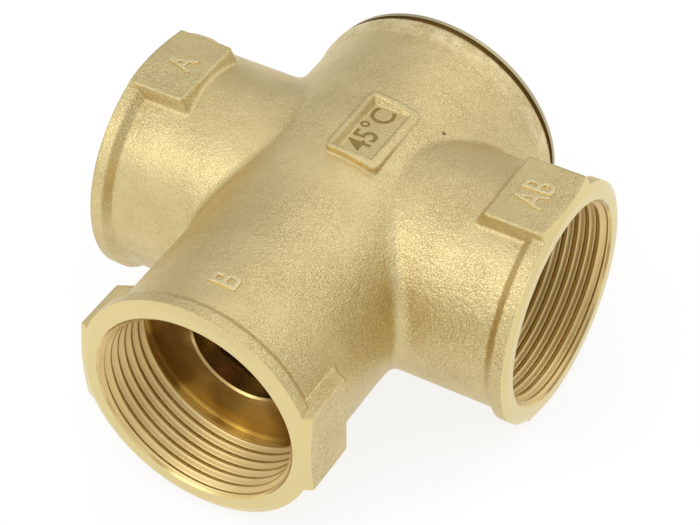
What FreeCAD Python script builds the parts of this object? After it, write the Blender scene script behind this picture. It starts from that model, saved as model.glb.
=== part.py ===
import FreeCAD, Part
import math
import os

V = FreeCAD.Vector
X, Y, Z = V(1, 0, 0), V(0, 1, 0), V(0, 0, 1)

# Thermostatic three-way mixing valve for a boiler return line, with G 1 1/4 female ports.
# Origin: where the axes of the three ports cross. +X runs out of the mixed port AB, -X out of
# the cold return port A, -Y out of the hot bypass port B, +Y out of the screwed end cap.

# Ports
RUN_HALF = 46.7             # centre to the faces of A and AB
REACH_B = 59.2              # centre to the face of B
NECK_R = 23.45
LIP_R = 25.0
RUN_NECK_R = 23.5           # A and AB are a shade thicker than B
LIP_LENGTH = 3.2            # full-height part of the lip behind the port face
LIP_RAMP = 1.7              # slope from the lip down to the neck
FACE_BEVEL = (1.4, 0.7)     # turned bevel round each port face, across and deep
PORT_R = 20.955             # G 1 1/4 major radius
PORT_DEPTH = 16.5
COUNTERSINK_R = 21.4
FLAT_HALF = 24.9            # centre to each wrench flat
FLAT_HALF_WIDTH = 9.45
FLAT_LENGTH = 13.5
FLAT_RAMP = 2.0             # slope at the inner end of a flat
FLAT_CORNER = 0.8           # rounding of its inner corners
FLAT_EDGE = 0.3             # rounding of its other edges
FLAT_FOOT = 0.8             # fillet where it stands on the neck

# Central housing, a body of revolution about Y
HOUSING_START = -29.0       # where the housing grows out of the neck of B
HOUSING_R = 26.9
HOUSING_FULL = 5.0          # from here towards the cap the housing is cylindrical
RIM_R = 27.45
RIM_START = 28.6
RIM_RAMP = 2.6
HOUSING_END = 32.8
NECK_FILLET = 2.8

# Rating field on top of the housing
FIELD_X = (0.9, 8.2)
FIELD_Y = (-7.4, 7.4)
FIELD_BORDER = 1.9
FIELD_FLOOR = 25.6
FIELD_DRAFT = 0.55          # sideways slope of its walls, per mm of height
FIELD_RISE = 0.35
FIELD_CORNER = 1.2

# Inside of the housing
MIX_R = 17.5                # mixing chamber, bored along Y
BYPASS_SEAT_Y = -37.0       # inner face of the wall round the hot inlet
BYPASS_HOLE_R = 11.7
SEAT_CHAMFER = 0.4
LEDGE_Y = 7.0               # ledge that the thermostat insert sits on
POCKET_R = 20.2             # pocket of the insert and cold chamber above it
THREAD_START = 21.0
CAP_THREAD_R = 24.0         # M48 cap thread, major radius
SPIGOT_R = 24.6
SPIGOT_START = 29.4
PRECHAMBER_R = 16.5
PRECHAMBER_DEPTH = 24.2
AB_CHANNEL = (-8.0, 12.0, 4.0)      # y of its middle, end radius, half distance of end centres
A_CHANNEL = (14.2, 5.8, 7.5)

# End cap and its seal
CAP_LAND_R = 26.2
CAP_GAP = 1.6
CAP_RIM_R = 27.15
CAP_TOP = 35.9
CAP_HEX = 30.0              # across flats
CAP_HEX_TOP = 43.9
CAP_SKIRT_END = 22.0
CAP_HOLLOW_R = 19.5
CAP_HOLLOW_TOP = 31.0
SEAL_SECTION_R = 1.0
SEAL_Y = 31.0

# Thermostat insert, from the ledge upwards
GASKET = 1.5
PLATE = 1.5
PLATE_R = 19.9
SEAT_HOLE_R = 13.0
RING_THICK = 1.2
RING_OUT_R = 21.2
RING_IN_R = 18.4
STRAP = 1.2
STRAP_WIDTH = 8.0
BRIDGE_TOP = 25.6
FRAME_OUT_R = 17.0
FRAME_RING_Y = -13.4        # face that carries the main spring
PISTON_R = 2.0
PISTON_BOTTOM = -9.0

# Moving thermostatic element
RUN_FIT = 0.06              # radial clearance of sliding fits
GUIDE_TOP = 16.0
GUIDE_R = 4.4
GUIDE_FLANGE_R = 6.3
CUP_R = 7.0
CUP_WALL = 0.7
CUP_TOP = 6.6
CUP_BOTTOM = -16.5
SLEEVE_R = 4.0
SLEEVE_END = -11.5
DISC_R = 15.1
DISC_TOP = 7.2
DISC = 1.2
DISC_SEAL = 1.2
STEM_R = 2.5
STEM_END = -32.0
TRAVEL = 7.0
BYPASS_DISC_R = 13.6
BYPASS_GAP = 0.2            # left between the disc and its seat at full travel
CLIP = 0.9
CLIP_R = 4.6

MAIN_SPRING = {"radius": 11.4, "wire": 0.8, "turns": 4.5}
BYPASS_SPRING = {"radius": 4.7, "wire": 0.5, "turns": 4.5}


def cylinder(radius, start, end, axis=Y, offset=None):
    """Solid cylinder along an axis between two stations."""
    base = axis * start + (offset or V())
    return Part.makeCylinder(radius, end - start, base, axis)


def tube(outer, inner, start, end, axis=Y):
    return cylinder(outer, start, end, axis).cut(cylinder(inner, start, end, axis))


def revolve_y(points):
    """Solid of revolution about Y from (radius, y) corners."""
    corners = [V(radius, station, 0) for radius, station in points]
    face = Part.Face(Part.makePolygon(corners + corners[:1]))
    return face.revolve(V(), Y, 360)


def box(x_range, y_range, z_range):
    low = V(x_range[0], y_range[0], z_range[0])
    return Part.makeBox(x_range[1] - x_range[0], y_range[1] - y_range[0],
                        z_range[1] - z_range[0], low)


def about_z(shape, degrees):
    turned = shape.copy()
    turned.rotate(V(), Z, degrees)
    return turned


def edges_on(shape, test):
    """Edges whose every sample point passes the test."""
    found = []
    for edge in shape.Edges:
        first, last = edge.ParameterRange
        samples = [edge.valueAt(first + (last - first) * k / 8) for k in range(9)]
        if all(test(p) for p in samples):
            found.append(edge)
    return found


# ---- forged body ----

def swell(low, high):
    """Smooth S-curve in the (radius, y) plane from low to high, both ends parallel to Y."""
    start, end = V(*low, 0), V(*high, 0)
    curve = Part.BSplineCurve()
    curve.interpolate([start, (start + end) * 0.5, end], InitialTangent=Y, FinalTangent=Y)
    return [curve.toShape()]


def housing_profile():
    """Half section of the housing: neck radius, swelling to full radius, then the rim."""
    low, high = (NECK_R, HOUSING_START), (HOUSING_R, HOUSING_FULL)
    front = [V(0, -REACH_B + LIP_LENGTH, 0), V(NECK_R, -REACH_B + LIP_LENGTH, 0), V(*low, 0)]
    rear = [V(*high, 0), V(HOUSING_R, RIM_START, 0), V(RIM_R, RIM_START + RIM_RAMP, 0),
            V(RIM_R, HOUSING_END, 0), V(0, HOUSING_END, 0), front[0]]
    return Part.Wire(Part.makePolygon(front).Edges + swell(low, high)
                     + Part.makePolygon(rear).Edges)


def housing_outside():
    """Housing of revolution with the A-AB run through it and soft fillets where they meet."""
    housing = Part.Face(housing_profile()).revolve(V(), Y, 360)
    run = cylinder(RUN_NECK_R, -RUN_HALF + LIP_LENGTH, RUN_HALF - LIP_LENGTH, X)
    joined = housing.fuse(run).removeSplitter()

    def on_crossing(p):
        on_run = abs(math.hypot(p.y, p.z) - RUN_NECK_R) < 0.02
        return on_run and 8 < abs(p.x) < RUN_HALF - LIP_LENGTH - 3
    return joined.makeFillet(NECK_FILLET, edges_on(joined, on_crossing))


def wrench_flat(face):
    """Block of one wrench flat on the +X side, sloped at its inner end."""
    back = face + FLAT_LENGTH
    low = NECK_R - 2.5
    side = [V(0, face, 0), V(FLAT_HALF, face, 0), V(FLAT_HALF, back, 0),
            V(low, back + FLAT_RAMP, 0), V(0, back, 0)]
    pad = Part.Face(Part.makePolygon(side + side[:1])).extrude(Z * (2 * FLAT_HALF_WIDTH))
    pad.translate(Z * -FLAT_HALF_WIDTH)

    def on_corner(p):
        return p.x > low - 0.01 and p.y > back - 0.01 and abs(p.z) > FLAT_HALF_WIDTH - 0.01
    pad = pad.makeFillet(FLAT_CORNER, edges_on(pad, on_corner))

    def on_top(p):
        return p.x > FLAT_HALF - 0.01
    top = [e for e in edges_on(pad, on_top) if e.BoundBox.YMax > face + 0.01]
    return pad.makeFillet(FLAT_EDGE, top)


def port_end(reach, neck):
    """Lip, two wrench flats and turned bevel of a port that opens along -Y."""
    face = -reach
    back = face + LIP_LENGTH
    root = back + LIP_RAMP
    lip = revolve_y([(0, face), (LIP_R, face), (LIP_R, back), (neck, root), (0, root)])
    width = (-FLAT_HALF_WIDTH, FLAT_HALF_WIDTH)
    beyond = [box((FLAT_HALF, LIP_R + 1), (face - 1, root), width),
              box((-LIP_R - 1, -FLAT_HALF), (face - 1, root), width)]
    flat = wrench_flat(face)
    other = flat.copy()
    other.rotate(V(), Y, 180)
    end = lip.cut(beyond).fuse([flat, other])
    across, deep = FACE_BEVEL
    start = LIP_R - across
    bevel = revolve_y([(start - across, face - deep), (start + 4 * across, face - deep),
                       (start + 4 * across, face + 4 * deep)])
    return end.cut(bevel)


def port_bore(reach):
    """Countersink and threaded bore of a port that opens along -Y, with its dished floor."""
    face = -reach
    sink = COUNTERSINK_R - PORT_R
    floor = face + PORT_DEPTH
    dish = (PORT_R - BYPASS_HOLE_R) * 0.14
    return revolve_y([(0, face - 1), (COUNTERSINK_R + 1, face - 1), (COUNTERSINK_R, face),
                      (PORT_R, face + sink), (PORT_R, floor),
                      (BYPASS_HOLE_R + SEAT_CHAMFER, floor + dish),
                      (BYPASS_HOLE_R, floor + dish + SEAT_CHAMFER),
                      (0, floor + dish + SEAT_CHAMFER)])


def channel(middle_y, end_r, half_z, x_from, x_to):
    """Oval water channel along X, wider across than high."""
    length = x_to - x_from
    ends = [Part.makeCylinder(end_r, length, V(x_from, middle_y, s * half_z), X) for s in (-1, 1)]
    core = box((x_from, x_to), (middle_y - end_r, middle_y + end_r), (-half_z, half_z))
    return core.fuse(ends).removeSplitter()


def inside():
    """Everything that is bored or cored out of the body."""
    floor = RUN_HALF - PORT_DEPTH
    inner = RUN_HALF - PRECHAMBER_DEPTH
    hollows = [
        cylinder(BYPASS_HOLE_R, -REACH_B + PORT_DEPTH, BYPASS_SEAT_Y + 1),
        cylinder(MIX_R, BYPASS_SEAT_Y, LEDGE_Y + 1),
        cylinder(POCKET_R, LEDGE_Y, THREAD_START + 1),
        cylinder(CAP_THREAD_R, THREAD_START, SPIGOT_START),
        cylinder(SPIGOT_R, SPIGOT_START, HOUSING_END + 1),
        cylinder(RING_OUT_R + 0.1, LEDGE_Y + GASKET + PLATE, LEDGE_Y + GASKET + PLATE + RING_THICK),
        cylinder(PRECHAMBER_R, inner, floor + 3, X),
        cylinder(PRECHAMBER_R, -floor - 3, -inner, X),
        channel(*AB_CHANNEL, 0, floor + 1),
        channel(*A_CHANNEL, -floor - 1, -POCKET_R + 8),
        port_bore(REACH_B),
        about_z(port_bore(RUN_HALF), 90),
        about_z(port_bore(RUN_HALF), -90),
    ]
    return hollows


def rating_field(body):
    """Sunk rectangular field with sloping walls and a low raised border on the housing."""
    x_out = (FIELD_X[0] - FIELD_BORDER, FIELD_X[1] + FIELD_BORDER)
    y_out = (FIELD_Y[0] - FIELD_BORDER, FIELD_Y[1] + FIELD_BORDER)
    border = box(x_out, y_out, (HOUSING_R - 3.5, HOUSING_R + 3))
    upright = [e for e in border.Edges if e.BoundBox.ZLength > 5]
    border = border.makeFillet(FIELD_CORNER, upright)
    border = border.common(cylinder(HOUSING_R + FIELD_RISE, y_out[0] - 1, y_out[1] + 1))
    rise = 3.0
    spread = rise * FIELD_DRAFT
    floor = rectangle(FIELD_X, FIELD_Y, FIELD_FLOOR, 0)
    mouth = rectangle(FIELD_X, FIELD_Y, FIELD_FLOOR + rise, spread)
    return body.fuse(border).cut(Part.makeLoft([floor, mouth], True, True))


def rectangle(x_range, y_range, height, margin):
    """Closed level rectangle, larger than its ranges by a margin."""
    x_low, x_high = x_range[0] - margin, x_range[1] + margin
    y_low, y_high = y_range[0] - margin, y_range[1] + margin
    corners = [V(x_low, y_low, height), V(x_high, y_low, height),
               V(x_high, y_high, height), V(x_low, y_high, height)]
    return Part.makePolygon(corners + corners[:1])


def eased_feet(outside):
    """Body with a small fillet where each wrench flat stands on its neck."""
    clear = LIP_LENGTH + LIP_RAMP - 0.1
    near = FLAT_HALF_WIDTH + 0.1

    def on_foot(p):
        on_b = (abs(math.hypot(p.x, p.z) - NECK_R) < 0.02 and abs(p.z) < near
                and clear < p.y + REACH_B < FLAT_LENGTH + 3)
        on_run = (abs(math.hypot(p.y, p.z) - RUN_NECK_R) < 0.02 and abs(p.y) < near
                  and clear < RUN_HALF - abs(p.x) < FLAT_LENGTH + 3)
        return on_b or on_run
    return outside.makeFillet(FLAT_FOOT, edges_on(outside, on_foot))


def valve_body():
    ends = [port_end(REACH_B, NECK_R)]
    for side in (-90, 90):
        end = about_z(port_end(RUN_HALF, RUN_NECK_R), side)
        end.rotate(V(), X, 90)
        ends.append(end)
    outside = eased_feet(housing_outside().fuse(ends).removeSplitter())
    return rating_field(outside).cut(inside()).removeSplitter()


# ---- cap ----

def end_cap():
    """Screwed brass plug: hexagon, rim, land on the housing, seal groove, threaded skirt."""
    groove = SPIGOT_R - 2 * SEAL_SECTION_R
    half = SEAL_SECTION_R + 0.2
    plug = revolve_y([
        (0, CAP_TOP), (CAP_RIM_R - 0.6, CAP_TOP), (CAP_RIM_R, CAP_TOP - 0.6),
        (CAP_RIM_R, HOUSING_END + CAP_GAP), (CAP_LAND_R, HOUSING_END + CAP_GAP),
        (CAP_LAND_R, HOUSING_END), (SPIGOT_R - 0.15, HOUSING_END),
        (SPIGOT_R - 0.15, SEAL_Y + half), (groove, SEAL_Y + half), (groove, SEAL_Y - half),
        (CAP_THREAD_R - 0.15, SEAL_Y - half), (CAP_THREAD_R - 0.15, CAP_SKIRT_END + 0.8),
        (CAP_THREAD_R - 0.95, CAP_SKIRT_END), (CAP_HOLLOW_R, CAP_SKIRT_END),
        (CAP_HOLLOW_R, CAP_HOLLOW_TOP - 2), (CAP_HOLLOW_R - 2, CAP_HOLLOW_TOP),
        (0, CAP_HOLLOW_TOP)])
    corner = CAP_HEX / math.sqrt(3)
    points = [V(corner * math.cos(math.radians(60 * k)), CAP_TOP,
                corner * math.sin(math.radians(60 * k))) for k in range(7)]
    hexagon = Part.Face(Part.makePolygon(points)).extrude(Y * (CAP_HEX_TOP - CAP_TOP))
    dressed = revolve_y([(0, CAP_TOP), (corner + 1, CAP_TOP), (corner + 1, CAP_HEX_TOP - 2.0),
                         (CAP_HEX / 2 - 0.4, CAP_HEX_TOP), (0, CAP_HEX_TOP)])
    return plug.fuse(hexagon.common(dressed)).removeSplitter()


def cap_seal():
    return Part.makeTorus(SPIGOT_R - SEAL_SECTION_R, SEAL_SECTION_R, V(0, SEAL_Y, 0), Y)


# ---- thermostat insert, standing parts ----

def plate_base():
    return LEDGE_Y + GASKET


def flange_gasket():
    return tube(PLATE_R, MIX_R + 0.2, LEDGE_Y, plate_base())


def valve_plate():
    """Seat plate with a raised bead round the hole and a small vent hole."""
    base = plate_base()
    plate = revolve_y([(SEAT_HOLE_R, base), (PLATE_R, base), (PLATE_R, base + PLATE),
                       (SEAT_HOLE_R + 1.6, base + PLATE), (SEAT_HOLE_R + 0.9, base + PLATE + 0.5),
                       (SEAT_HOLE_R, base + PLATE + 0.5)])
    vent = Part.makeCylinder(0.8, 4, V(15.8, base - 1, 0), Y)
    return plate.cut(vent)


def retaining_ring():
    """Internal circlip with a gap and two plier eyes."""
    base = plate_base() + PLATE
    ring = tube(RING_OUT_R, RING_IN_R, base, base + RING_THICK)
    eyes, holes = [], []
    for side in (-1, 1):
        turn = math.radians(side * 18)
        centre = V(math.sin(turn), 0, math.cos(turn)) * (RING_IN_R - 0.4)
        eyes.append(cylinder(2.2, base, base + RING_THICK, Y, centre))
        holes.append(cylinder(0.9, base - 1, base + 3, Y, centre))
    gap = box((-4.0, 4.0), (base - 1, base + 3), (10, RING_OUT_R + 1))
    return ring.fuse(eyes).cut([gap] + holes)


def strap_arch(outline, width):
    """Sheet strap whose (z, y) outline is mirrored in z, extruded along X."""
    corners = [V(0, y, z) for z, y in outline]
    half = Part.Face(Part.makePolygon(corners + corners[:1])).extrude(X * width)
    half.translate(X * (-width / 2))
    return half.fuse(half.mirror(V(), Z)).removeSplitter()


def upper_bridge():
    """Stirrup on the seat plate whose crown holds the end of the piston."""
    base = plate_base() + PLATE
    foot = 17.6
    shoulder = 9.0
    outline = [(foot, base), (foot, base + STRAP), (15.6, base + STRAP), (shoulder, BRIDGE_TOP),
               (0, BRIDGE_TOP), (0, BRIDGE_TOP - STRAP), (shoulder - 0.6, BRIDGE_TOP - STRAP),
               (14.8, base)]
    arch = strap_arch(outline, STRAP_WIDTH)
    socket = tube(3.6, PISTON_R, BRIDGE_TOP - STRAP - 2.2, BRIDGE_TOP - STRAP)
    return arch.fuse(socket).removeSplitter()


def spring_frame():
    """Stirrup under the seat plate: two legs and the ring that carries the main spring."""
    base = plate_base()
    ring_low = FRAME_RING_Y - STRAP
    ring = tube(FRAME_OUT_R, CUP_R + RUN_FIT, ring_low, FRAME_RING_Y)
    leg = tube(FRAME_OUT_R, FRAME_OUT_R - STRAP, ring_low, base)
    sides = [box((-STRAP_WIDTH / 2, STRAP_WIDTH / 2), (ring_low - 1, base + 1), z_range)
             for z_range in ((0, 20), (-20, 0))]
    legs = [leg.common(side) for side in sides]
    return ring.fuse(legs).removeSplitter()


def piston():
    pin = cylinder(PISTON_R, PISTON_BOTTOM, BRIDGE_TOP - STRAP)
    tip = [e for e in pin.Edges if abs(e.BoundBox.YMax - PISTON_BOTTOM) < 0.01]
    return pin.makeChamfer(0.4, tip)


# ---- thermostat insert, moving parts ----

def piston_guide():
    """Turned brass guide that the piston runs in, with the flange that the cup grips."""
    flange_low = CUP_TOP - 2.4
    return revolve_y([
        (PISTON_R + RUN_FIT, GUIDE_TOP), (GUIDE_R - 1.0, GUIDE_TOP), (GUIDE_R, GUIDE_TOP - 1.4),
        (GUIDE_R, CUP_TOP), (GUIDE_FLANGE_R, CUP_TOP - 0.4), (GUIDE_FLANGE_R, flange_low),
        (PISTON_R + RUN_FIT, flange_low)])


def thrust_washer():
    top = CUP_TOP - 2.4
    return tube(SLEEVE_R, PISTON_R + RUN_FIT, top - 1.0, top)


def rubber_sleeve():
    """Closed rubber finger round the piston, with a flange trapped under the guide."""
    top = CUP_TOP - 3.4
    return revolve_y([(PISTON_R + RUN_FIT, top), (GUIDE_FLANGE_R, top),
                      (GUIDE_FLANGE_R, top - 1.2), (SLEEVE_R, top - 1.2),
                      (SLEEVE_R, SLEEVE_END + 1.5), (SLEEVE_R - 1.5, SLEEVE_END),
                      (0, SLEEVE_END), (0, SLEEVE_END + 1.6), (PISTON_R + RUN_FIT, SLEEVE_END + 1.6)])


def wax_charge():
    inner = CUP_R - CUP_WALL
    bottom = CUP_BOTTOM + CUP_WALL
    block = cylinder(inner, bottom, CUP_TOP - 4.6)
    return block.cut(revolve_y([(0, CUP_TOP), (SLEEVE_R, CUP_TOP), (SLEEVE_R, SLEEVE_END + 1.5),
                                (SLEEVE_R - 1.5, SLEEVE_END), (0, SLEEVE_END)]))


def spacer_ring():
    """Brass ring that fills the cup round the washer, so that the crimp clamps the sleeve."""
    top = CUP_TOP - 2.4
    return tube(GUIDE_FLANGE_R, SLEEVE_R, top - 1.0, top)


def wax_cup():
    """Drawn copper cup, crimped over the guide at the top, with the bypass stem below."""
    inner = CUP_R - CUP_WALL
    groove_top = clip_top() - CLIP
    return revolve_y([
        (GUIDE_R + 0.6, CUP_TOP), (CUP_R - 0.4, CUP_TOP), (CUP_R, CUP_TOP - 0.5),
        (CUP_R, CUP_BOTTOM + 1.0), (CUP_R - 1.0, CUP_BOTTOM), (STEM_R, CUP_BOTTOM),
        (STEM_R, clip_top()), (STEM_R - 0.6, clip_top()), (STEM_R - 0.6, groove_top),
        (STEM_R, groove_top), (STEM_R, STEM_END + 0.5), (STEM_R - 0.5, STEM_END), (0, STEM_END),
        (0, CUP_BOTTOM + CUP_WALL), (inner, CUP_BOTTOM + CUP_WALL), (inner, CUP_TOP - 0.4),
        (GUIDE_R + 0.6, CUP_TOP - 0.05)])


def main_disc():
    """Pressed plate that closes the cold inlet, carried on the cup."""
    low = DISC_TOP - DISC
    hub = CUP_R + 1.0
    return revolve_y([(CUP_R, low - 2.2), (hub, low - 2.2), (hub, low - 0.4), (hub + 0.4, low),
                      (DISC_R, low), (DISC_R, DISC_TOP), (CUP_R, DISC_TOP)])


def disc_seal():
    return tube(DISC_R, SEAT_HOLE_R - 0.8, DISC_TOP, DISC_TOP + DISC_SEAL)


def bypass_disc_low():
    return BYPASS_SEAT_Y + BYPASS_GAP + TRAVEL


def clip_top():
    return bypass_disc_low()


def bypass_disc():
    """Plate that closes the hot inlet, free to slide up the stem against its spring."""
    low = bypass_disc_low()
    hole = STEM_R + RUN_FIT
    return revolve_y([(hole, low), (BYPASS_DISC_R - 0.4, low), (BYPASS_DISC_R, low + 0.4),
                      (BYPASS_DISC_R, low + DISC), (hole + 1.6, low + DISC),
                      (hole + 1.6, low + 2.6), (hole, low + 2.6)])


def bypass_clip():
    """Snap ring in the groove of the stem, open at one side."""
    top = clip_top()
    ring = tube(CLIP_R, STEM_R - 0.6, top - CLIP, top)
    mouth = box((0, CLIP_R + 1), (top - CLIP - 1, top + 1), (-1.3, 1.3))
    return ring.cut(mouth)


def spring(radius, wire, turns, low, high):
    """Round-wire compression spring along Y between two faces, with one closed turn per end."""
    free = high - low - 2 * wire
    coil = Part.makeHelix(free / turns, free, radius)
    start = Part.Wire(Part.makeCircle(wire, V(radius, 0, 0), V(0, 1, 0)))
    body = Part.Wire(coil).makePipeShell([start], True, True)
    body.rotate(V(), X, -90)
    body.translate(Y * (low + wire))
    return body


def main_spring():
    return spring(**MAIN_SPRING, low=FRAME_RING_Y, high=DISC_TOP - DISC)


def bypass_spring():
    return spring(**BYPASS_SPRING, low=bypass_disc_low() + DISC, high=CUP_BOTTOM)


NODES = [valve_body, end_cap, cap_seal, flange_gasket, valve_plate, retaining_ring, upper_bridge,
         spring_frame, piston, piston_guide, thrust_washer, spacer_ring, rubber_sleeve, wax_charge,
         wax_cup, main_disc, disc_seal, main_spring, bypass_disc, bypass_spring, bypass_clip]

os.makedirs("parts", exist_ok=True)
for make in NODES:
    shape = make()
    shape.exportStep("parts/" + make.__name__ + ".step")
    print(make.__name__, shape.isValid(), len(shape.Solids), round(shape.Volume, 1))
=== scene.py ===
import math

import bpy
import numpy as np
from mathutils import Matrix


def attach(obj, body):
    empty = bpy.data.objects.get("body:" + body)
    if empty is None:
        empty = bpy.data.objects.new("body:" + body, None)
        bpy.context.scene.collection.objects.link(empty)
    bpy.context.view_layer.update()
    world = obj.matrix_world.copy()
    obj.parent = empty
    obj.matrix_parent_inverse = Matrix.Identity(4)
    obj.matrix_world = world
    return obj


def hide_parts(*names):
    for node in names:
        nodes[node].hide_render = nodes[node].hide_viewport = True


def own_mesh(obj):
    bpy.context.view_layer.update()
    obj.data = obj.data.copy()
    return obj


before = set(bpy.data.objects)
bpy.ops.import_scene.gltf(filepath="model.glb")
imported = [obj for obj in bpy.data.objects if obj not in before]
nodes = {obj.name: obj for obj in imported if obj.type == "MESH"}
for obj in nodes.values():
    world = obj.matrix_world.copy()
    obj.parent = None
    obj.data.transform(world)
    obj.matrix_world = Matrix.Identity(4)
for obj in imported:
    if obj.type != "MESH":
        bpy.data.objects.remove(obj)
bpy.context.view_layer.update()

# ---------------------------------------------------------------------------------------------
# Blasted skin of the forged body.
# The body is hot-forged brass, shot-blasted to a fine grain and left bare; only the ports and
# the inside are turned bright.
# ---------------------------------------------------------------------------------------------
MM = 0.001


def put(tree, kind, settings=None, **inputs):
    """Adds a shader node. Inputs are values or sockets, by socket name or number as _0, _1."""
    node = tree.nodes.new("ShaderNode" + kind)
    for name, value in (settings or {}).items():
        setattr(node, name, value)
    for name, value in inputs.items():
        socket = node.inputs[int(name[1:])] if name[0] == "_" else node.inputs[name]
        if isinstance(value, bpy.types.NodeSocket):
            tree.links.new(value, socket)
        else:
            socket.default_value = value
    return node


def calc(tree, operation, *terms, clamp=False):
    """Result of one maths node on up to three terms."""
    inputs = {"_%d" % k: term for k, term in enumerate(terms)}
    return put(tree, "Math", {"operation": operation, "use_clamp": clamp}, **inputs).outputs[0]


def ramp(tree, value, low, high, out_low=0.0, out_high=1.0):
    """Smooth step of a value from out_low at low to out_high at high."""
    return put(tree, "MapRange", {"interpolation_type": "SMOOTHSTEP"}, _0=value, _1=low,
               _2=high, _3=out_low, _4=out_high).outputs[0]


def blend_value(tree, share, first, second):
    """Value between two values or sockets, by a share from 0 to 1."""
    return put(tree, "Mix", {"data_type": "FLOAT"}, _0=share, _2=first, _3=second).outputs[0]


def blend_colour(tree, share, first, second):
    """Colour between two tints or colour sockets, by a share from 0 to 1."""
    node = put(tree, "Mix", {"data_type": "RGBA"}, _0=share)
    for socket, value in ((node.inputs[6], first), (node.inputs[7], second)):
        if isinstance(value, bpy.types.NodeSocket):
            tree.links.new(value, socket)
        else:
            socket.default_value = (*value, 1)
    return node.outputs[2]


def new_group(name, inputs, outputs):
    """Shader group with float inputs given as (name, default) and float outputs. Returns its
    tree, its input and output nodes and the object coordinates."""
    tree = bpy.data.node_groups.new(name, "ShaderNodeTree")
    for label, default in inputs:
        tree.interface.new_socket(name=label, in_out="INPUT",
                                  socket_type="NodeSocketFloat").default_value = default
    for label in outputs:
        tree.interface.new_socket(name=label, in_out="OUTPUT", socket_type="NodeSocketFloat")
    source = tree.nodes.new("NodeGroupInput")
    sink = tree.nodes.new("NodeGroupOutput")
    place = put(tree, "TexCoord").outputs["Object"]
    return tree, source, sink, place


def coordinates(tree):
    """Object coordinates in metres, as a vector and as x, y and z."""
    place = put(tree, "TexCoord").outputs["Object"]
    return (place, *put(tree, "SeparateXYZ", _0=place).outputs)


def off_axis(tree, a, b):
    """Distance from an axis: the root of a a + b b, of the two coordinates across it."""
    return calc(tree, "SQRT", calc(tree, "MULTIPLY_ADD", a, a, calc(tree, "MULTIPLY", b, b)))


def noise(tree, place, scale, detail=2.0, rough=0.5):
    """Soft noise between 0 and 1, with scale in waves to the metre."""
    return put(tree, "TexNoise", Vector=place, Scale=scale, Detail=detail,
               Roughness=rough).outputs["Fac"]


def blasted_skin():
    """Overlapping shot dents, a fine sparkle, which the brass colours use for painted glints,
    and slow cloudy mottling. Dents and sparkle are weaker where the shot struck at a slant, in
    patches a few centimetres across."""
    tree, source, sink, place = new_group("blasted_skin", [("Grain", 1.0)],
                                          ["Height", "Sparkle", "Mottle"])
    fine_scale, dent_scale, glint_scale = [
        calc(tree, "MULTIPLY", source.outputs["Grain"], waves)
        for waves in (2300.0, 1500.0, 5200.0)]
    fine = noise(tree, place, fine_scale, 2.5, 0.6)
    dents = put(tree, "TexVoronoi", {"feature": "SMOOTH_F1"}, Vector=place,
                Scale=dent_scale).outputs["Distance"]
    broad = noise(tree, place, 420.0, 3.0)
    height = calc(tree, "MULTIPLY_ADD", dents, 0.5, fine)
    height = calc(tree, "MULTIPLY_ADD", broad, 1.2, height)
    glint = noise(tree, place, glint_scale, 2.0, 0.6)
    cloud = noise(tree, place, 90.0, 6.0, 0.68)
    struck = ramp(tree, noise(tree, place, 38.0, 2.0), 0.36, 0.62, 0.45, 1.2)
    sparkle = calc(tree, "SUBTRACT", ramp(tree, glint, 0.4, 0.64), 0.5)
    tree.links.new(calc(tree, "MULTIPLY", height, struck), sink.inputs["Height"])
    tree.links.new(calc(tree, "MULTIPLY_ADD", sparkle, struck, 0.5), sink.inputs["Sparkle"])
    tree.links.new(ramp(tree, cloud, 0.3, 0.7), sink.inputs["Mottle"])
    return tree


def lathe_marks():
    """Feed marks of turning: bands that follow the distance from an axis plus the way along it.
    Along X picks the X axis, otherwise the Y axis. Wander is a slow change round the part."""
    tree, source, sink, place = new_group(
        "lathe_marks", [("Along X", 0.0), ("Pitch", 0.3 * MM)], ["Height", "Wander"])
    x, y, z = put(tree, "SeparateXYZ", _0=place).outputs
    round_y = calc(tree, "ADD", off_axis(tree, x, z), calc(tree, "ABSOLUTE", y))
    round_x = calc(tree, "ADD", off_axis(tree, y, z), calc(tree, "ABSOLUTE", x))
    picked = blend_value(tree, source.outputs["Along X"], round_y, round_x)
    turns = calc(tree, "DIVIDE", picked, source.outputs["Pitch"])
    bands = put(tree, "TexNoise", {"noise_dimensions": "1D"}, W=turns, Scale=1.0, Detail=3.0,
                Roughness=0.7).outputs["Fac"]
    tree.links.new(bands, sink.inputs["Height"])
    tree.links.new(ramp(tree, noise(tree, place, 55.0, 3.0), 0.3, 0.7), sink.inputs["Wander"])
    return tree


SKIN = blasted_skin()
LATHE = lathe_marks()


def new_material(name):
    """A new node material, its tree and its Principled shader."""
    material = bpy.data.materials.new(name)
    material.use_nodes = True
    tree = material.node_tree
    shader = tree.nodes["Principled BSDF"]
    return material, tree, shader


def grouped(tree, group, **values):
    """Outputs of a group node. Values are given by input name, with _ for a space."""
    node = tree.nodes.new("ShaderNodeGroup")
    node.node_tree = group
    for name, value in values.items():
        node.inputs[name.replace("_", " ")].default_value = value
    return node.outputs


def bump(tree, shader, height, depth, soft_edge=None):
    """Relief of a height between 0 and 1 that stands up to depth metres. Soft edge is the
    radius in metres to which the edges below the relief are rounded off."""
    node = put(tree, "Bump", Strength=1.0, Distance=depth, Height=height)
    if soft_edge is not None:
        rounded = put(tree, "Bevel", {"samples": 6}, Radius=soft_edge)
        tree.links.new(rounded.outputs[0], node.inputs["Normal"])
    tree.links.new(node.outputs[0], shader.inputs["Normal"])


CAST_TINT = (0.61, 0.49, 0.232)
CAST_DARK = (0.48, 0.372, 0.162)
CAST_PAINTED_GLINT = (0.88, 0.74, 0.41)
RUBBED_AND_HIGHLIGHT_TINT = (0.93, 0.80, 0.50)
FACE_TINT = (0.76, 0.63, 0.30)
FACE_DULL = (0.70, 0.58, 0.30)
BORE_TINT = (0.78, 0.60, 0.26)
BORE_BROWN = (0.44, 0.30, 0.11)
PIT_TINT = (0.16, 0.11, 0.05)
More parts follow.
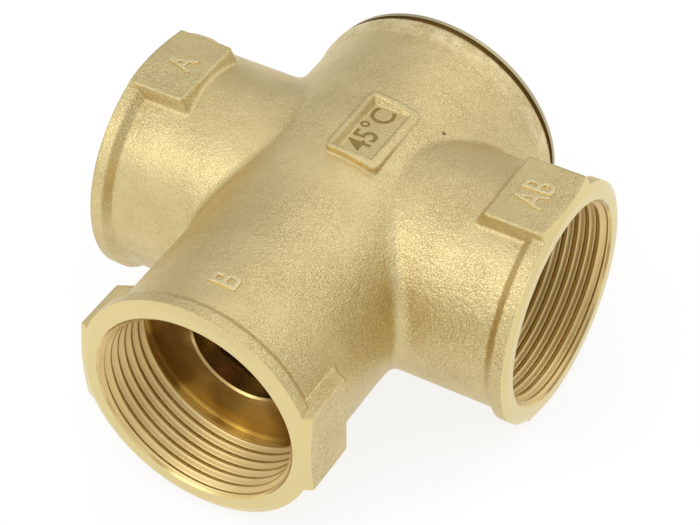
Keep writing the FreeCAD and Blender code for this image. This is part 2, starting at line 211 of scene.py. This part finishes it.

# Where the surfaces lie, in mm: faces of the ports, edge of their bevels, skin of the faces,
# bores of the ports, bore under the cap and the rim beside it, rubbed and given a painted
# highlight.
RUN_HALF, REACH_B = 46.7, 59.2
BEVEL_R, FACE_SKIN = 23.6, 0.07
PORT_BORE_R, RUN_BORE_X, RUN_ONLY_X = 21.6, 9, 22
CAP_BORE_R, CAP_BORE_Y = 25.0, 25.2
RIM_HIGHLIGHT_Y = (28.4, 30.2)

# Radius to which the edges of the forging are soft and depth of its grain, in mm.
SOFT_EDGE, GRAIN_DEPTH = 0.8, 0.12

# Dark pits: x, y, z and radius, in mm. Their outlines waver by half a millimetre.
PIT_WAVER = 0.5
PITS = [(14.8, 9.6, 22.6, 0.36), (-43.3, -12.5, 20.6, 0.28), (-40.2, -13.6, 19.8, 0.3),
        (-9.0, 17.5, 25.6, 0.2), (24.4, -2.0, 22.6, 0.18), (9.7, -12.6, 24.3, 0.2)]


def forged_brass():
    """Blasted outside, turned faces and bevels, turned inside, told apart by where they are."""
    material, tree, shader = new_material("forged_brass")
    place, x, y, z = coordinates(tree)
    along_x = calc(tree, "ABSOLUTE", x)
    round_x = off_axis(tree, y, z)
    round_y = off_axis(tree, x, z)

    def on_face(along, off, reach):
        """1 on the port's flat face and its bevel, which falls 1 in 2 outside its edge."""
        fall = calc(tree, "MAXIMUM", calc(tree, "MULTIPLY", calc(
            tree, "SUBTRACT", off, BEVEL_R * MM), 0.5), 0.0)
        depth = calc(tree, "SUBTRACT", calc(tree, "SUBTRACT", reach, along), fall)
        return calc(tree, "LESS_THAN", depth, FACE_SKIN * MM)

    def in_bore(off, radius, along, start):
        """1 within a radius of an axis, beyond a start along it."""
        return calc(tree, "MULTIPLY", calc(tree, "LESS_THAN", off, radius * MM),
                    calc(tree, "GREATER_THAN", along, start * MM))
    face_x = on_face(along_x, round_x, RUN_HALF * MM)
    face_y = on_face(calc(tree, "MULTIPLY", y, -1.0), round_y, REACH_B * MM)
    face = calc(tree, "MAXIMUM", face_x, face_y)
    run_bore = in_bore(round_x, PORT_BORE_R, along_x, RUN_BORE_X)
    core_bore = calc(tree, "LESS_THAN", round_y, PORT_BORE_R * MM)
    cap_bore = in_bore(round_y, CAP_BORE_R, y, CAP_BORE_Y)
    inside = calc(tree, "MAXIMUM", calc(tree, "MAXIMUM", run_bore, core_bore), cap_bore)
    inside = calc(tree, "MULTIPLY", inside, calc(tree, "SUBTRACT", 1.0, face))
    turned = calc(tree, "MAXIMUM", face, inside)

    skin = grouped(tree, SKIN)
    rings = grouped(tree, LATHE)
    tree.links.new(calc(tree, "GREATER_THAN", along_x, RUN_ONLY_X * MM),
                   rings[0].node.inputs["Along X"])
    pits = 0.0
    for px, py, pz, size in PITS:
        spot = put(tree, "VectorMath", {"operation": "DISTANCE"}, _0=place,
                   _1=(px * MM, py * MM, pz * MM)).outputs["Value"]
        wobble = calc(tree, "MULTIPLY_ADD", noise(tree, place, 2500.0), PIT_WAVER * MM, spot)
        pits = calc(tree, "MAXIMUM", pits, ramp(tree, wobble, (size + 0.4) * MM,
                                                (size + 0.15) * MM))
    cast = blend_colour(tree, skin["Mottle"], CAST_DARK, CAST_TINT)
    # Painted glints: the sparkle noise lightens the cast tint towards a glint tint.
    cast = blend_colour(tree, calc(tree, "MULTIPLY", skin["Sparkle"], 0.8), cast, CAST_PAINTED_GLINT)
    # Painted highlight along the rim, over its rubbing: a band beside the cap, broken up by
    # noise, lightened halfway to the rubbed tint.
    rim_highlight = calc(tree, "MULTIPLY", ramp(tree, y, RIM_HIGHLIGHT_Y[0] * MM, RIM_HIGHLIGHT_Y[1] * MM),
               ramp(tree, noise(tree, place, 420.0, 4.0, 0.6), 0.38, 0.62))
    cast = blend_colour(tree, calc(tree, "MULTIPLY", rim_highlight, 0.5), cast, RUBBED_AND_HIGHLIGHT_TINT)
    cast = blend_colour(tree, calc(tree, "MULTIPLY", pits, 0.9), cast, PIT_TINT)
    bright = blend_colour(tree, calc(tree, "MULTIPLY", rings["Wander"], 0.35), FACE_TINT,
                          FACE_DULL)
    tarnish = ramp(tree, noise(tree, place, 75.0, 2.0), 0.40, 0.60)
    bore = blend_colour(tree, tarnish, BORE_TINT, BORE_BROWN)
    colour = blend_colour(tree, face, blend_colour(tree, inside, cast, bore), bright)
    tree.links.new(colour, shader.inputs["Base Color"])
    shader.inputs["Metallic"].default_value = 1.0
    matt = calc(tree, "MULTIPLY_ADD", skin["Sparkle"], -0.16, 0.50)
    polished = calc(tree, "MULTIPLY_ADD", rings["Height"], 0.12, 0.20)
    tree.links.new(blend_value(tree, turned, matt, polished), shader.inputs["Roughness"])
    grain = calc(tree, "MULTIPLY_ADD", pits, -2.0, skin["Height"])
    relief = blend_value(tree, turned, grain, calc(tree, "MULTIPLY", rings["Height"], 0.06))
    edge = calc(tree, "MULTIPLY", calc(tree, "SUBTRACT", 1.0, turned), SOFT_EDGE * MM)
    bump(tree, shader, relief, GRAIN_DEPTH * MM, soft_edge=edge)
    return material


def rubbed_brass_painted_glint():
    """The same skin where it stands proud and has been rubbed bright in the tumbling drum, with
    glints painted into its colour.
    """
    material, tree, shader = new_material("rubbed_brass_painted_glint")
    skin = grouped(tree, SKIN)
    # Painted glints: the sparkle noise lightens the cast tint towards the rubbed tint.
    tint = blend_colour(tree, skin["Sparkle"], CAST_TINT, RUBBED_AND_HIGHLIGHT_TINT)
    tree.links.new(tint, shader.inputs["Base Color"])
    shader.inputs["Metallic"].default_value = 1.0
    tree.links.new(calc(tree, "MULTIPLY_ADD", skin["Mottle"], 0.1, 0.34),
                   shader.inputs["Roughness"])
    bump(tree, shader, skin["Height"], 0.07 * MM)
    return material


def dress(node, material):
    """Gives a carried-over part its material."""
    slots = nodes[node].data.materials
    slots.clear()
    slots.append(material)


dress("valve_body", forged_brass())
RUBBED_PAINTED_GLINT = rubbed_brass_painted_glint()

# ---------------------------------------------------------------------------------------------
# Internal threads of the three ports.
# G 1 1/4 pipe thread, 11 turns to the inch, rounded at crest and root, cut into the body.
# The countersink cuts its first turn away and the last turn runs out into the relief.
# ---------------------------------------------------------------------------------------------
# Radii and depths behind the port's face, in mm, and the rows and columns of its grid.
PITCH = 2.309
MAJOR_R, MINOR_R = 20.93, 19.96
COUNTERSINK_R = 21.4
THREAD_DEPTHS = (0.46, 15.3)
RUN_OUT_FROM, RUN_OUT_OVER = 14.3, 0.9
THREAD_ROWS, THREAD_COLUMNS = 190, 320
BACKING = 0.25
THREADS_OF_RUN_X = 26


def grid_faces(rows, columns):
    """Quads of a grid that closes both ways, as lists of four vertex numbers."""
    r, c = np.meshgrid(np.arange(rows), np.arange(columns), indexing="ij")
    r2, c2 = (r + 1) % rows, (c + 1) % columns
    return np.stack([r * columns + c, r * columns + c2, r2 * columns + c2, r2 * columns + c],
                    axis=-1).reshape(-1, 4).tolist()


def add_piece(name, mesh, material, body, smooth=True):
    """Object of a mesh in one material, riding on a body."""
    mesh.polygons.foreach_set("use_smooth", [smooth] * len(mesh.polygons))
    mesh.materials.clear()
    mesh.materials.append(material)
    mesh.update()
    piece = bpy.data.objects.new(name, mesh)
    bpy.context.scene.collection.objects.link(piece)
    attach(piece, body)
    return piece


def new_piece(name, parts, material, body):
    """One piece from several pairs of points, in mm, and faces."""
    points, faces, start = [], [], 0
    for part_points, part_faces in parts:
        points.append(part_points)
        faces += [[v + start for v in face] for face in part_faces]
        start += len(part_points)
    mesh = bpy.data.meshes.new(name)
    mesh.from_pydata((np.vstack(points) * MM).tolist(), [], faces)
    return add_piece(name, mesh, material, body)


def thread_points(phase):
    """(depth, radius, angle) grids of the thread skin.
    At depth h and angle a the thread is t turns from a crest, with t = (h - phase) / pitch
    + a / 360, and the radius is the mean radius minus half the thread depth x cos(360 t), but
    never inside the 45 degree countersink. It widens to the relief at the end, and a plain
    backing behind it closes the ring."""
    depth = np.linspace(*THREAD_DEPTHS, THREAD_ROWS)[:, None]
    angle = np.linspace(0, 2 * np.pi, THREAD_COLUMNS, endpoint=False)[None, :]
    t = (depth - phase) / PITCH + angle / (2 * np.pi)
    radius = (MAJOR_R + MINOR_R) / 2 - (MAJOR_R - MINOR_R) / 2 * np.cos(2 * np.pi * t)
    run_out = np.clip((depth - RUN_OUT_FROM) / RUN_OUT_OVER, 0, 1)
    radius = radius + (MAJOR_R - radius) * run_out * run_out * (3 - 2 * run_out)
    radius = np.maximum(radius, COUNTERSINK_R - depth)
    back = np.full((2, angle.size), MAJOR_R + BACKING)
    ends = np.array([[THREAD_DEPTHS[1]], [THREAD_DEPTHS[0] + BACKING]])
    depth = np.vstack([depth + 0 * angle, ends + 0 * angle])
    return depth, np.vstack([radius, back]), np.vstack([angle] * depth.shape[0])


def turned_thread():
    """Fresh-cut brass, smooth flanks with a feed mark along the thread."""
    material, tree, shader = new_material("cut_thread")
    rings = grouped(tree, LATHE, Pitch=0.12 * MM)
    x = coordinates(tree)[1]
    on_run = calc(tree, "GREATER_THAN", calc(tree, "ABSOLUTE", x), THREADS_OF_RUN_X * MM)
    tree.links.new(on_run, rings[0].node.inputs["Along X"])
    colour = blend_colour(tree, rings["Wander"], (0.80, 0.63, 0.30), (0.68, 0.51, 0.22))
    tree.links.new(colour, shader.inputs["Base Color"])
    shader.inputs["Metallic"].default_value = 1.0
    rough = calc(tree, "MULTIPLY_ADD", rings["Height"], 0.12, 0.36)
    tree.links.new(rough, shader.inputs["Roughness"])
    bump(tree, shader, rings["Height"], 0.004 * MM)
    return material


CUT_THREAD = turned_thread()


def crest_from_root(depth, degrees):
    """Depth of a crest at angle 0, when a root lies at the given depth and angle."""
    return depth + PITCH / 2 + PITCH * degrees / 360


def port_thread(name, phase, place):
    """Thread of a port whose place function turns depth, across and up into points in mm."""
    depth, radius, angle = thread_points(phase)
    points = place(depth, radius * np.cos(angle), radius * np.sin(angle)).reshape(-1, 3)
    return new_piece(name, [(points, grid_faces(*depth.shape))], CUT_THREAD, "housing")


def into_b(depth, across, up):
    return np.stack([across, -REACH_B + depth, up], axis=-1)


def into_ab(depth, across, up):
    return np.stack([RUN_HALF - depth, across, up], axis=-1)


def into_a(depth, across, up):
    return np.stack([-RUN_HALF + depth, -across, up], axis=-1)


port_thread("thread_b", crest_from_root(3.73, 250), into_b)
port_thread("thread_ab", crest_from_root(3.58, -30), into_ab)
port_thread("thread_a", 2.9, into_a)

# ---------------------------------------------------------------------------------------------
# Cast lettering: A, B and AB beside their ports.
# Raised letters sunk into the forging die, soft at their edges from the blasting.
# ---------------------------------------------------------------------------------------------
# Type size for a capital one high, half a letter's thickness and where letters stand, in mm.
TYPE_TO_HEIGHT = 1.4
LETTER_HALF = 0.5
FLAT_TOP, NECK_B_R = 24.9, 23.45


def letter_mesh(words, size, weight, remesh, soften):
    """Closed mesh of a word centred on the origin, reading along +x with its top towards +y.
    Weight fattens the strokes, remesh is the voxel size and soften the number of smoothings."""
    curve = bpy.data.curves.new(words, "FONT")
    curve.body = words
    curve.size = size * MM
    curve.extrude = LETTER_HALF * MM
    curve.offset = weight * MM
    curve.align_x, curve.align_y = "CENTER", "CENTER"
    holder = bpy.data.objects.new(words, curve)
    bpy.context.scene.collection.objects.link(holder)
    graph = bpy.context.evaluated_depsgraph_get()
    mesh = bpy.data.meshes.new_from_object(holder.evaluated_get(graph))
    bpy.data.objects.remove(holder)
    solid = bpy.data.objects.new(words, mesh)
    bpy.context.scene.collection.objects.link(solid)
    voxels = solid.modifiers.new("cast", "REMESH")
    voxels.mode, voxels.voxel_size = "VOXEL", remesh * MM
    eased = solid.modifiers.new("eased", "SMOOTH")
    eased.factor, eased.iterations = 0.5, soften
    graph = bpy.context.evaluated_depsgraph_get()
    mesh = bpy.data.meshes.new_from_object(solid.evaluated_get(graph))
    bpy.data.objects.remove(solid)
    return mesh


def stretch(points, width, height):
    """Scales flat points so that their extent is width by height, centred."""
    low, high = points.min(0), points.max(0)
    scale = np.array([width, height]) / (high - low)[:2]
    points[:, :2] = (points[:, :2] - (low + high)[:2] / 2) * scale
    return points


def laid_letters(name, words, width, height, rise, centre, surface, material, remesh=0.12,
                 weight=0.16, soften=18):
    """Letters that read towards +Y with their tops towards -X, standing rise above a surface
    given as z of (x, y)."""
    mesh = letter_mesh(words, height * TYPE_TO_HEIGHT, weight, remesh, soften)
    points = np.empty(len(mesh.vertices) * 3)
    mesh.vertices.foreach_get("co", points)
    points = stretch(points.reshape(-1, 3) / MM, width, height)
    x = centre[0] - points[:, 1]
    y = centre[1] + points[:, 0]
    z = surface(x, y) + points[:, 2] - points[:, 2].max() + rise
    mesh.vertices.foreach_set("co", (np.stack([x, y, z], axis=1) * MM).ravel())
    return add_piece(name, mesh, material, "housing", smooth=soften > 0)


def on_flat(x, y):
    return np.full_like(x, FLAT_TOP)


def on_neck_b(x, y):
    return np.sqrt(NECK_B_R ** 2 - x * x)


laid_letters("letter_a", "A", width=4.4, height=5.7, rise=0.4, centre=(-39.3, 0.3),
             surface=on_flat, material=RUBBED_PAINTED_GLINT)
laid_letters("letters_ab", "AB", width=7.8, height=6.4, rise=0.36, centre=(38.9, 0.0),
             surface=on_flat, material=RUBBED_PAINTED_GLINT)
laid_letters("letter_b", "B", width=3.5, height=5.7, rise=0.38, centre=(0.6, -46.9),
             surface=on_neck_b, material=RUBBED_PAINTED_GLINT)

# ---------------------------------------------------------------------------------------------
# Opening temperature, marked with a laser on the floor of its field.
# The beam burns the brass to a dark matt brown, grainy as the skin below it.
# ---------------------------------------------------------------------------------------------
FIELD_FLOOR = 25.6


def burnt_brass():
    """Brass burnt brown, mostly oxide."""
    material, tree, shader = new_material("laser_mark")
    skin = grouped(tree, SKIN, Grain=1.6)
    colour = blend_colour(tree, skin["Sparkle"], (0.25, 0.175, 0.04), (0.37, 0.27, 0.08))
    tree.links.new(colour, shader.inputs["Base Color"])
    shader.inputs["Metallic"].default_value = 0.6
    rough = calc(tree, "MULTIPLY_ADD", skin["Mottle"], 0.15, 0.5)
    tree.links.new(rough, shader.inputs["Roughness"])
    bump(tree, shader, skin["Height"], 0.03 * MM)
    return material


def on_field(x, y):
    return np.full_like(x, FIELD_FLOOR)


laid_letters("opening_temperature", "45°C", width=13.0, height=5.3, rise=0.03,
             centre=(3.6, 0.3), surface=on_field, material=burnt_brass(),
             remesh=0.05, weight=0.09, soften=0)

# ---------------------------------------------------------------------------------------------
# Trimmed burr along the edges of the wrench flats.
# Milling and clipping the flats leaves a thin bright line of metal on each long edge.
# ---------------------------------------------------------------------------------------------
rng = np.random.default_rng(7)
ASKEW = (0.31, 0.47, 0.83)      # any direction that no burr lies along
BURR_STEPS, BURR_SIDES = 60, 8


def burr_points(start, end, size):
    """Thin rod from start to end whose radius wavers: size x (1 + slow random waves)."""
    start, end = np.array(start, float), np.array(end, float)
    along = np.linspace(0, 1, BURR_STEPS)
    waves = sum(np.sin(2 * np.pi * (k * along + rng.random())) * 0.5 / k for k in (2, 5, 9, 14))
    radius = size * (1 + 0.35 * waves) * np.clip(8 * np.minimum(along, 1 - along), 0.05, 1)
    direction = (end - start) / np.linalg.norm(end - start)
    side = np.cross(direction, ASKEW)
    side /= np.linalg.norm(side)
    other = np.cross(direction, side)
    turn = np.linspace(0, 2 * np.pi, BURR_SIDES, endpoint=False)
    circle = np.cos(turn)[:, None] * side + np.sin(turn)[:, None] * other
    middle = start + along[:, None] * (end - start)
    return middle[:, None, :] + radius[:, None, None] * circle[None, :, :]


def rod_faces(rings, around):
    """Quads of a rod of rings, with one face closing each end."""
    r, c = np.meshgrid(np.arange(rings - 1), np.arange(around), indexing="ij")
    c2 = (c + 1) % around
    sides = np.stack([r * around + c, (r + 1) * around + c, (r + 1) * around + c2,
                      r * around + c2], axis=-1).reshape(-1, 4)
    first = list(range(around))
    last = list(range((rings - 1) * around, rings * around))[::-1]
    return sides.tolist() + [first, last]


def rod_part(rings):
    """Points and faces of a rod from its rings of points."""
    return rings.reshape(-1, 3), rod_faces(*rings.shape[:2])


# Start, end and radius of the burrs of A, AB and B and of the foot of B's flat, in mm.
FLAT, HALF = 24.8, 9.36
BURRS = [
    ((-45.6, -HALF, FLAT), (-34.0, -HALF, FLAT), 0.14),
    ((-45.6, HALF, FLAT), (-34.0, HALF, FLAT), 0.08),
    ((45.4, -HALF, FLAT), (34.2, -HALF, FLAT), 0.11),
    ((45.4, HALF, FLAT), (34.2, HALF, FLAT), 0.08),
    ((FLAT, -57.7, HALF), (FLAT, -46.5, HALF), 0.14),
    ((FLAT, -57.7, -HALF), (FLAT, -46.5, -HALF), 0.08),
    ((21.5, -55.2, 9.55), (21.5, -46.0, 9.55), 0.26),
]
new_piece("trimmed_burrs", [rod_part(burr_points(*burr)) for burr in BURRS], RUBBED_PAINTED_GLINT, "housing")

# ---------------------------------------------------------------------------------------------
# End cap and the turned brass parts.
# Free-cutting brass bar, turned and left bright; the cap has dulled to a greenish grey.
# ---------------------------------------------------------------------------------------------


def turned_brass(name, tint, dull, rough, gap_shade=None):
    """Turned bar brass. Gap shade is (from, to, tint), in mm, of a band along Y painted as
    shade.
    """
    material, tree, shader = new_material(name)
    rings = grouped(tree, LATHE)
    skin = grouped(tree, SKIN)
    colour = blend_colour(tree, rings["Wander"], tint, dull)
    colour = blend_colour(tree, calc(tree, "MULTIPLY", skin["Mottle"], 0.4), colour, dull)
    # Painted shade: inside the band the colour is darkened nine tenths of the way to the shade
    # tint.
    if gap_shade:
        low, high, brown = gap_shade
        y = coordinates(tree)[2]
        band = calc(tree, "MULTIPLY", calc(tree, "GREATER_THAN", y, low * MM),
                    calc(tree, "LESS_THAN", y, high * MM))
        colour = blend_colour(tree, calc(tree, "MULTIPLY", band, 0.9), colour, brown)
    tree.links.new(colour, shader.inputs["Base Color"])
    shader.inputs["Metallic"].default_value = 1.0
    tree.links.new(calc(tree, "MULTIPLY_ADD", rings["Height"], 0.2, rough),
                   shader.inputs["Roughness"])
    bump(tree, shader, rings["Height"], 0.006 * MM)
    return material


# Painted shade of the gap between cap and body: from, to and tint, along Y in mm.
CAP_GAP_SHADE = (32.5, 34.43, (0.38, 0.27, 0.115))
dress("end_cap", turned_brass("turned_brass", (0.58, 0.51, 0.32), (0.46, 0.42, 0.26), 0.28,
                              CAP_GAP_SHADE))
dress("piston_guide", turned_brass("guide_brass", (0.72, 0.56, 0.26), (0.6, 0.46, 0.2), 0.22))
dress("spacer_ring", turned_brass("spacer_brass", (0.70, 0.55, 0.27), (0.6, 0.46, 0.2), 0.25))
dress("bypass_disc", turned_brass("brass_disc", (0.66, 0.48, 0.2), (0.5, 0.36, 0.14), 0.3))

# ---------------------------------------------------------------------------------------------
# Pressed stainless and steel parts of the insert.
# Rolled sheet with a fine grain along the strip; the rings are phosphated spring steel and the
# piston is ground.
# ---------------------------------------------------------------------------------------------


def rolled_grain():
    """Fine lines along Z, as rolling leaves them, and slow clouds."""
    tree, source, sink, place = new_group("rolled_grain", [("Fineness", 1.0)],
                                          ["Lines", "Clouds"])
    lines = put(tree, "VectorMath", {"operation": "MULTIPLY"}, _0=place, _1=(5000, 5000, 160))
    scaled = put(tree, "VectorMath", {"operation": "SCALE"}, _0=lines.outputs[0],
                 Scale=source.outputs["Fineness"]).outputs[0]
    tree.links.new(noise(tree, scaled, 1.0, 3.0), sink.inputs["Lines"])
    tree.links.new(ramp(tree, noise(tree, place, 160.0, 3.0), 0.3, 0.7), sink.inputs["Clouds"])
    return tree


ROLLED = rolled_grain()


def steel(name, tint, dull, rough, fineness=1.0):
    """Rolled or drawn metal that clouds from one tint to a duller one."""
    material, tree, shader = new_material(name)
    grain = grouped(tree, ROLLED, Fineness=fineness)
    tree.links.new(blend_colour(tree, grain["Clouds"], tint, dull), shader.inputs["Base Color"])
    shader.inputs["Metallic"].default_value = 1.0
    tree.links.new(calc(tree, "MULTIPLY_ADD", grain["Lines"], 0.25, rough),
                   shader.inputs["Roughness"])
    bump(tree, shader, grain["Lines"], 0.004 * MM)
    return material


STAINLESS = {"stainless_sheet": "valve_plate", "stainless_strap": "upper_bridge",
             "stainless_frame": "spring_frame", "stainless_disc": "main_disc"}
for finish, node in STAINLESS.items():
    dress(node, steel(finish, (0.60, 0.59, 0.56), (0.50, 0.49, 0.47), 0.2))

# Material, tint, duller tint, roughness and fineness of the grain of each part.
STEELS = {
    "retaining_ring": ("spring_steel", (0.12, 0.12, 0.125), (0.07, 0.07, 0.07), 0.42, 2.0),
    "bypass_clip": ("clip_steel", (0.20, 0.20, 0.21), (0.12, 0.12, 0.12), 0.36, 2.0),
    "piston": ("polished_steel", (0.66, 0.66, 0.65), (0.58, 0.58, 0.58), 0.08, 3.0),
}
for node, values in STEELS.items():
    dress(node, steel(*values))

# ---------------------------------------------------------------------------------------------
# Working parts of the wax element.
# Drawn copper cup, copper-filled wax, a nitrile sleeve and a white thrust washer.
# ---------------------------------------------------------------------------------------------
dress("wax_cup", steel("drawn_copper", (0.78, 0.42, 0.27), (0.60, 0.29, 0.17), 0.24, 0.7))


def soft_solid(name, tint, flecks, rough, fleck_share):
    """Moulded rubber, plastic or filled wax with a fine fleck."""
    material, tree, shader = new_material(name)
    skin = grouped(tree, SKIN, Grain=0.8)
    share = calc(tree, "MULTIPLY", skin["Sparkle"], fleck_share)
    tree.links.new(blend_colour(tree, share, tint, flecks), shader.inputs["Base Color"])
    tree.links.new(calc(tree, "MULTIPLY_ADD", skin["Mottle"], 0.15, rough),
                   shader.inputs["Roughness"])
    bump(tree, shader, skin["Height"], 0.01 * MM)
    return material


# Material, tint, flecks, roughness and share of the flecks of each part.
SOFT = {
    "cap_seal": ("epdm_seal", (0.022, 0.022, 0.022), (0.06, 0.06, 0.06), 0.55, 0.4),
    "flange_gasket": ("epdm_gasket", (0.025, 0.025, 0.025), (0.06, 0.06, 0.06), 0.6, 0.4),
    "disc_seal": ("epdm_disc_seal", (0.02, 0.02, 0.02), (0.06, 0.06, 0.06), 0.55, 0.4),
    "rubber_sleeve": ("nitrile_sleeve", (0.03, 0.028, 0.026), (0.07, 0.07, 0.06), 0.5, 0.3),
    "thrust_washer": ("ptfe", (0.78, 0.78, 0.74), (0.86, 0.86, 0.84), 0.4, 0.5),
    "wax_charge": ("copper_filled_wax", (0.36, 0.15, 0.07), (0.62, 0.32, 0.18), 0.5, 0.8),
}
for node, values in SOFT.items():
    dress(node, soft_solid(*values))

# ---------------------------------------------------------------------------------------------
# Main spring and bypass spring.
# Round steel wire with its end coils closed. The main spring stands on the frame's ring and
# rides with the housing; the light one rides with the element.
# ---------------------------------------------------------------------------------------------
CLOSING = 0.75
STEPS_PER_TURN, WIRE_SIDES = 48, 14


def coil_piece(name, replaced, radius, wire, turns, low, high, material, body):
    """Round wire of radius wire about Y, in place of a solid. At the share s of its length its
    middle stands at y = low + wire + (high - low - 2 wire) x (s - k sin(2 pi s) / 2 pi), with k
    the closing, so that the pitch fades towards both ends."""
    s = np.linspace(0, 1, int(turns * STEPS_PER_TURN))
    rise = s - CLOSING * np.sin(2 * np.pi * s) / (2 * np.pi)
    y = low + wire + (high - low - 2 * wire) * rise
    turn = 2 * np.pi * turns * s
    out = np.stack([np.cos(turn), 0 * turn, np.sin(turn)], axis=1)
    section = np.linspace(0, 2 * np.pi, WIRE_SIDES, endpoint=False)
    radial = (radius + wire * np.cos(section))[None, :, None] * out[:, None, :]
    points = radial + (y[:, None] + wire * np.sin(section)[None, :])[..., None] * [0, 1, 0]
    piece = new_piece(name, [rod_part(points)], material, body)
    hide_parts(replaced)
    return piece


main_coil = coil_piece("main_spring_coil", "main_spring", radius=11.4, wire=0.8, turns=5.5,
                       low=-13.4, high=6.0, material=steel(
                           "spring_wire", (0.52, 0.52, 0.51), (0.4, 0.4, 0.4), 0.2, 2.0),
                       body="housing")
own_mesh(main_coil)
light_coil = coil_piece("bypass_spring_coil", "bypass_spring", radius=4.7, wire=0.5, turns=5.5,
                        low=-28.6, high=-16.5, material=steel(
                            "light_spring_wire", (0.55, 0.55, 0.54), (0.42, 0.42, 0.42), 0.2,
                            2.0), body="element")
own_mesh(light_coil)

# ---------------------------------------------------------------------------------------------
# Studio.
# A white sweep, a soft tent of light, one large lamp in front and the camera.
# ---------------------------------------------------------------------------------------------
LIFT, GLOW = 0.75, 1.08
FLOOR_Z = -27.6
FLOOR_HALF = 4000.0
HIGH_IN_FRONT, HIGH_BEHIND_RIGHT = (-0.28, -0.58, 0.76), (0.43, 0.62, 0.655)


def white_floor():
    """Pale sheet, three quarters lifted to white for what looks at it or mirrors it, so that a
    soft shadow stays."""
    material, tree, shader = new_material("white_sheet")
    path = put(tree, "LightPath").outputs
    seen = calc(tree, "ADD", calc(tree, "ADD", path["Is Camera Ray"], path["Is Glossy Ray"]),
                path["Is Transmission Ray"], clamp=True)
    paper = noise(tree, put(tree, "TexCoord").outputs["Object"], 40.0, 4.0)
    tree.links.new(blend_colour(tree, paper, (0.84, 0.84, 0.84), (0.88, 0.88, 0.88)),
                   shader.inputs["Base Color"])
    shader.inputs["Roughness"].default_value = 0.9
    glow = put(tree, "Emission", Color=(1, 1, 1, 1), Strength=GLOW)
    mixed = put(tree, "MixShader", _0=calc(tree, "MULTIPLY", seen, LIFT))
    tree.links.new(shader.outputs[0], mixed.inputs[1])
    tree.links.new(glow.outputs[0], mixed.inputs[2])
    tree.links.new(mixed.outputs[0], tree.nodes["Material Output"].inputs["Surface"])
    return material


floor_mesh = bpy.data.meshes.new("floor")
corners = [(-1, -1), (1, -1), (1, 1), (-1, 1)]
floor_mesh.from_pydata([(a * FLOOR_HALF * MM, b * FLOOR_HALF * MM, FLOOR_Z * MM)
                        for a, b in corners], [], [(0, 1, 2, 3)])
floor_mesh.materials.append(white_floor())
floor = bpy.data.objects.new("floor", floor_mesh)
bpy.context.scene.collection.objects.link(floor)


def light_tent():
    """White world light, brightest overhead in front, with a second patch high behind to the
    right, and paling off below."""
    world = bpy.data.worlds.new("tent")
    world.use_nodes = True
    tree = world.node_tree
    away = put(tree, "TexCoord").outputs["Generated"]
    lean, side = [
        put(tree, "VectorMath", {"operation": "DOT_PRODUCT"}, _0=away, _1=towards)
        .outputs["Value"] for towards in (HIGH_IN_FRONT, HIGH_BEHIND_RIGHT)]
    level = calc(tree, "ADD", ramp(tree, lean, -0.3, 1.0, 0.55, 0.98),
                 ramp(tree, side, 0.6, 0.99, 0.0, 0.5))
    tree.links.new(level, tree.nodes["Background"].inputs["Strength"])
    tree.nodes["Background"].inputs["Color"].default_value = (1, 1, 1, 1)
    return world


scene = bpy.context.scene
scene.world = light_tent()
scene.view_settings.view_transform = "Standard"


def soft_lamp(name, place, aim, size, power):
    """Round area lamp that looks from a place at an aim, in metres and watts."""
    lamp = bpy.data.lights.new(name, "AREA")
    lamp.shape, lamp.size, lamp.energy = "DISK", size, power
    holder = bpy.data.objects.new(name, lamp)
    place, aim = np.array(place), np.array(aim)
    holder.location = place
    back = place - aim
    holder.rotation_euler = (math.atan2(math.hypot(back[0], back[1]), back[2]), 0,
                             math.atan2(back[0], -back[1]))
    scene.collection.objects.link(holder)


soft_lamp("key", place=(-0.25, -0.62, 0.62), aim=(0, -0.01, 0), size=0.6, power=1.2)

camera_data = bpy.data.cameras.new("camera")
camera_data.sensor_width = 36.0
camera_data.lens = 124.467
camera_data.shift_x, camera_data.shift_y = -0.5 / 700, 0.5 / 700
camera = bpy.data.objects.new("camera", camera_data)
camera.location = (0.178608, -0.309601, 0.323487)
camera.rotation_euler = [math.radians(a) for a in (46.9153, 0.13155, 29.94734)]
scene.collection.objects.link(camera)
scene.camera = camera
